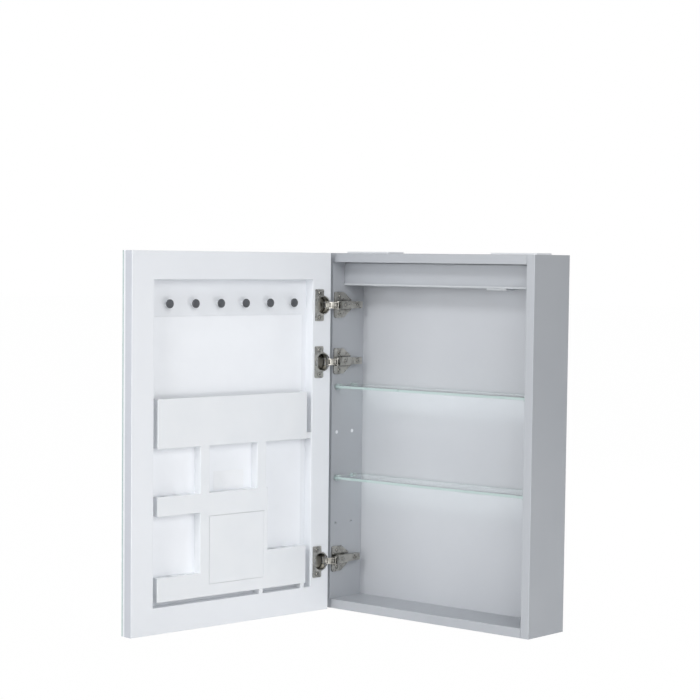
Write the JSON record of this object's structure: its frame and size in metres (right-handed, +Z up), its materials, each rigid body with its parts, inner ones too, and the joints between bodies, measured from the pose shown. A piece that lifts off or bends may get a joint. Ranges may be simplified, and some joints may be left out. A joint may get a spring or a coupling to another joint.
{
  "type": "bathroom mirror cabinet",
  "caption": "Wall-hung mirror cabinet with one door on coupled concealed hinges, glass shelves, and a peg row and moulded organiser inside the door.",
  "frame": {"origin": "midpoint between the two wall-hook slots, on the wall plane at the back of the case", "axes": "+Z up, +Y towards the wall, +X to the right when facing the cabinet; the door hangs on the left and stands open"},
  "size_m": [0.5528, 0.6053, 0.703],
  "materials": {
    "case_board": "satin grey-white lacquer on board",
    "door_board": "satin white lacquer on board",
    "mirror": "silvered float glass",
    "shelf_glass": "clear float glass with green edges",
    "clear_plastic": "clear moulded plastic",
    "white_plastic": "white moulded plastic",
    "opal_plastic": "opal diffuser",
    "dark_caps": "dark grey rubber",
    "label": "bare paper-faced plate",
    "lamp_strip": "lamp strip",
    "aluminium": "mill-finish channel",
    "zinc_steel": "zinc-plated steel",
    "nickel_steel": "nickel-plated steel"
  },
  "bodies": {
    "case": {"side_panel_left": "case_board", "side_panel_right": "case_board", "top_panel": "case_board", "bottom_panel": "case_board", "back_panel": "case_board", "hanging_rail": "case_board", "hanging_bracket_left": "zinc_steel", "hanging_bracket_right": "zinc_steel", "bracket_screws": "zinc_steel", "light_fascia": "case_board", "fascia_trim": "opal_plastic", "lamp_tray": "aluminium", "led_strip": "lamp_strip", "driver_box": "white_plastic", "lead_connector": "white_plastic", "lead_clip": "white_plastic", "top_cover_left": "white_plastic", "top_cover_right": "white_plastic", "arm_pins": "nickel_steel", "arm_screws": "nickel_steel", "plate_screws": "nickel_steel", "hole_sleeves": "white_plastic", "glass_shelf_lower": "shelf_glass", "shelf_clips_lower": "clear_plastic", "glass_shelf_upper": "shelf_glass", "shelf_clips_upper": "clear_plastic", "hinge_plate_top": "nickel_steel", "hinge_arm_top": "nickel_steel", "hinge_plate_middle": "nickel_steel", "hinge_arm_middle": "nickel_steel", "hinge_plate_bottom": "nickel_steel", "hinge_arm_bottom": "nickel_steel"},
    "outer_links": {"hinge_outer_link_top": "nickel_steel", "hinge_outer_link_middle": "nickel_steel", "hinge_outer_link_bottom": "nickel_steel"},
    "inner_links": {"hinge_inner_link_top": "nickel_steel", "hinge_inner_link_middle": "nickel_steel", "hinge_inner_link_bottom": "nickel_steel"},
    "door": {"door_stile_hinge": "door_board", "door_stile_free": "door_board", "door_rail_top": "door_board", "door_rail_bottom": "door_board", "door_back_board": "door_board", "mirror_glass": "mirror", "peg_stems": "white_plastic", "peg_caps": "dark_caps", "organiser_panel": "white_plastic", "wide_pocket": "white_plastic", "small_pocket": "white_plastic", "corner_pocket": "white_plastic", "column_pocket": "white_plastic", "organiser_posts": "white_plastic", "centre_housing": "white_plastic", "access_cover": "white_plastic", "label_plate": "label", "cup_pins": "nickel_steel", "cup_screws": "nickel_steel", "hinge_cup_top": "nickel_steel", "hinge_cup_middle": "nickel_steel", "hinge_cup_bottom": "nickel_steel"}
  },
  "joints": [
    {"name": "outer_link_turn", "type": "hinge", "parent": "case", "child": "outer_links", "pos_m": [-0.21515, -0.11897, -0.167], "axis": [0, 0, 1], "range_deg": [-58.97, 0]},
    {"name": "door_swing", "type": "hinge", "parent": "outer_links", "child": "door", "pos_m": [-0.22886, -0.13214, -0.167], "axis": [0, 0, 1], "range_deg": [0, 154.77]},
    {"name": "inner_link_turn", "type": "hinge", "parent": "case", "child": "inner_links", "pos_m": [-0.2101, -0.119, -0.167], "axis": [0, 0, 1], "range_deg": [-27.95, 0]}
  ],
  "couplings": [
    {"joint": "outer_link_turn", "follows": "door_swing", "ratio": -0.38101},
    {"joint": "inner_link_turn", "follows": "door_swing", "ratio": -0.18059}
  ]
}
